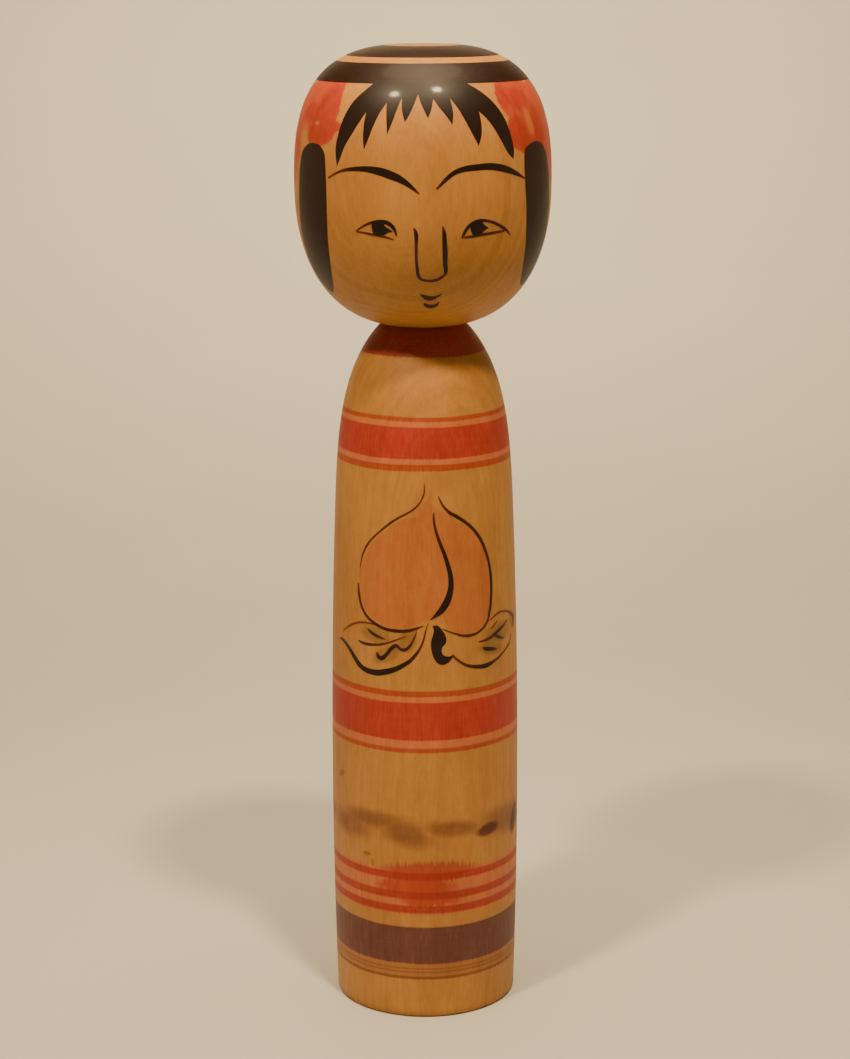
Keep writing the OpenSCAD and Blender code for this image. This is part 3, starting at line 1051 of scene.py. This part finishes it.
# %% Draw the stem and the leaves
STEM = [
    [(3.1, 102.4), (4.2, 101.3), (5.0, 100.0), (5.35, 98.7), (5.1, 97.8), (4.4, 97.1), (4.1, 96.0),
     (4.6, 94.9), (5.5, 94.5), (6.7, 94.6), (7.3, 94.8)],
    [(6.6, 93.8), (5.7, 92.9), (4.6, 92.5), (3.5, 92.7), (2.6, 93.6), (1.9, 95.2), (1.55, 97.0),
     (1.6, 98.7), (2.1, 100.3), (2.3, 101.3), (1.85, 102.3)],
]
LEAF_STROKES = {
    "left_leaf_top": [
        (-24.4, 97.9, 0.25), (-22.5, 99.3, 0.4), (-20.5, 100.5, 0.5), (-18.0, 101.5, 0.5),
        (-16.0, 101.9, 0.5), (-14.0, 101.9, 0.4), (-12.9, 101.8, 0.25),
    ],
    "left_leaf_bottom": [
        (-26.4, 95.7, 0.4), (-24.5, 95.8, 0.75), (-22.7, 95.1, 0.9), (-21.0, 94.0, 1.05),
        (-19.3, 92.5, 1.25), (-17.8, 91.1, 1.35), (-16.0, 90.15, 1.3), (-14.0, 89.8, 1.4),
        (-12.0, 89.8, 1.5), (-10.0, 90.25, 1.5), (-8.0, 90.9, 1.35), (-6.5, 91.6, 1.2), (-5.0, 92.5, 1.05),
        (-3.5, 93.6, 0.9), (-2.2, 95.1, 0.8), (-1.0, 97.0, 0.6), (-0.2, 99.0, 0.5), (0.25, 101.0, 0.4),
        (0.9, 103.1, 0.2),
    ],
    "left_leaf_vein": [
        (-17.9, 97.0, 0.4), (-16.5, 96.7, 0.65), (-15.0, 96.6, 0.75), (-13.0, 96.75, 0.65),
        (-11.0, 97.1, 0.6), (-9.0, 97.75, 0.5), (-7.0, 98.6, 0.4), (-4.4, 99.7, 0.2),
    ],
    "left_leaf_dash": [
        (-15.0, 100.5, 0.4), (-13.8, 99.75, 0.75), (-12.5, 99.2, 0.75), (-11.2, 98.8, 0.65),
        (-9.7, 98.5, 0.25),
    ],
    "left_leaf_squiggle": [
        (-12.1, 95.0, 0.45), (-11.8, 94.1, 0.9), (-10.9, 93.6, 1.1), (-10.0, 94.2, 0.95),
        (-9.0, 95.4, 0.9), (-8.0, 96.6, 0.95), (-6.9, 97.2, 0.85), (-6.1, 96.55, 0.75),
        (-5.2, 96.2, 0.85), (-4.4, 96.45, 0.8), (-3.6, 97.3, 0.7), (-2.8, 98.7, 0.55), (-2.2, 100.1, 0.4),
        (-1.9, 101.4, 0.2),
    ],
    "right_leaf_bottom": [
        (6.7, 94.9, 0.4), (7.6, 93.9, 0.55), (8.7, 92.95, 0.6), (10.1, 92.0, 0.7), (11.6, 91.4, 0.8),
        (13.5, 91.0, 0.95), (15.5, 90.8, 1.1), (17.0, 90.9, 1.1), (18.6, 91.3, 0.85), (20.5, 91.85, 0.7),
        (22.5, 92.65, 0.6), (24.5, 93.6, 0.55), (26.2, 94.5, 0.55), (26.9, 95.7, 0.35), (27.0, 96.7, 0.15),
    ],
    "right_leaf_top": [
        (17.5, 101.9, 0.25), (18.8, 102.5, 0.5), (20.4, 103.1, 0.55), (22.4, 103.3, 0.6),
        (24.5, 102.9, 0.6), (26.5, 102.1, 0.7), (28.2, 101.2, 0.9), (29.3, 100.2, 1.2), (29.2, 99.1, 1.0),
        (28.3, 98.0, 0.5),
    ],
    "right_leaf_vein": [
        (13.9, 97.2, 0.35), (15.5, 97.2, 0.6), (17.3, 97.5, 0.75), (19.0, 98.05, 0.85), (20.7, 98.7, 0.9),
        (22.3, 99.3, 0.8), (24.0, 100.05, 0.55), (25.4, 100.7, 0.2),
    ],
    "right_leaf_fork": [
        (18.8, 98.0, 0.6), (20.2, 97.45, 0.8), (21.5, 96.85, 0.75), (22.6, 96.5, 0.5), (23.5, 96.3, 0.2),
    ],
    "right_leaf_dash": [
        (15.1, 95.6, 0.45), (16.3, 95.05, 0.95), (17.7, 94.75, 0.95), (19.0, 94.5, 0.8), (20.3, 94.3, 0.3),
    ],
    "right_leaf_tick": [(17.9, 99.7, 0.4), (19.2, 100.5, 0.55), (20.6, 101.5, 0.25)],
}
FAINT = {"right_leaf_tick": 0.3, "right_leaf_top": 0.6, "left_leaf_top": 0.6}
for name, points in LEAF_STROKES.items():
    stroke(name, points, body_side, "body", FAINT.get(name, 0.9))
fill("peach_stem", STEM, body_side, "body", 1.0, OVERLAP_LIFT)
print(len(LEAF_STROKES), "strokes for the leaves")

# %% [markdown]
# ## A plain studio
#
# The doll stands in a round cove of pale board, which curves up into a wall on every side, so
# that it looks the same from all round. Two small lamps high in front put two glints on the
# forelock and throw the big head's shadow on the shoulders. A wide soft lamp overhead lights
# the crown, and four more are aimed at the walls. All of them have a narrow spread, because a
# brighter floor would light the chin from below.
#
# The camera has a long lens. It stands two and a half doll heights away, just above the
# crown, and looks down a little, as one looks at a doll on a table.

# %% Build the cove
COVE_RADIUS, BEND, WALL_HEIGHT = 1200, 500, 2000


def pale_cove():
    """A round floor that curves up into a wall on every side."""
    arc = [math.pi / 2 * i / 24 for i in range(25)]
    path = [(0, 0)] + [
        (COVE_RADIUS - BEND + BEND * math.sin(a), BEND - BEND * math.cos(a)) for a in arc
    ] + [(COVE_RADIUS, WALL_HEIGHT)]
    sheet = spun(path, [0.0] * len(path))
    if sum(face.normal.z for face in sheet.faces) < 0:
        bmesh.ops.reverse_faces(sheet, faces=sheet.faces)
    mesh = bpy.data.meshes.new("pale_cove")
    sheet.to_mesh(mesh)
    sheet.free()
    mesh.shade_smooth()
    piece = bpy.data.objects.new("pale_cove", mesh)
    bpy.context.scene.collection.objects.link(piece)
    return piece


cove_finish = Finish("pale_board")
metres = cove_finish.node("TexCoord", {}, {}, "Object")
mottle = cove_finish.noise(metres, (6, 6, 6), 3)
board = cove_finish.blend((0.50, 0.48, 0.445), (0.55, 0.535, 0.505), mottle)
cove_finish.surface(Base_Color=board, Roughness=0.7)
floor = pale_cove()
floor.data.materials.append(cove_finish.material)
print("cove built")

# %% Hang the lamps
def softbox(name, place, target, size, power, colour):
    """A round soft lamp aimed at a point."""
    lamp = bpy.data.lights.new(name, "AREA")
    lamp.shape, lamp.size = "DISK", size
    lamp.energy, lamp.color, lamp.spread = power, colour, math.radians(80)
    holder = bpy.data.objects.new(name, lamp)
    bpy.context.scene.collection.objects.link(holder)
    holder.location = place
    holder.rotation_euler = (Vector(target) - Vector(place)).to_track_quat("-Z", "Y").to_euler()


WARM = (1.0, 0.77, 0.46)
softbox("right_lamp", (0.138, -0.324, 0.882), (0, 0, 0.15), 0.08, 1.32, WARM)
softbox("left_lamp", (-0.272, -0.347, 0.827), (0, 0, 0.15), 0.08, 1.12, WARM)
softbox("crown_lamp", (0.0, 0.06, 0.95), (0, 0, 0.15), 0.6, 1.5, WARM)
for name, (x, y), power in [
    ("back", (0, 1), 7.5), ("front", (0, -1), 2.0), ("left", (-1, 0), 3.2), ("right", (1, 0), 3.2),
]:
    softbox(name + "_wall_lamp", (0.45 * x, 0.45 * y, 1.3), (1.1 * x, 1.1 * y, 0.1), 0.5, power, WARM)

world = bpy.data.worlds.new("room")
world.use_nodes = True
world.node_tree.nodes["Background"].inputs["Color"].default_value = (1.0, 0.84, 0.62, 1.0)
world.node_tree.nodes["Background"].inputs["Strength"].default_value = 0.12
bpy.context.scene.world = world
print("lamps hung")

# %% Place the camera
LENS_DISTANCE, LENS_HEIGHT = 0.6001, 0.2612
LOOKING_DOWN, TILT = math.radians(13.147), math.radians(-0.213)

camera_data = bpy.data.cameras.new("camera")
camera_data.sensor_width = 36.0
camera_data.lens = 83.8
camera_data.clip_start = 0.01
camera = bpy.data.objects.new("camera", camera_data)
bpy.context.scene.collection.objects.link(camera)
aim = Matrix.Rotation(math.pi / 2 - LOOKING_DOWN, 4, "X") @ Matrix.Rotation(TILT, 4, "Z")
camera.matrix_world = Matrix.Translation((0.0002, -LENS_DISTANCE, LENS_HEIGHT)) @ aim
bpy.context.scene.camera = camera
print("camera placed")
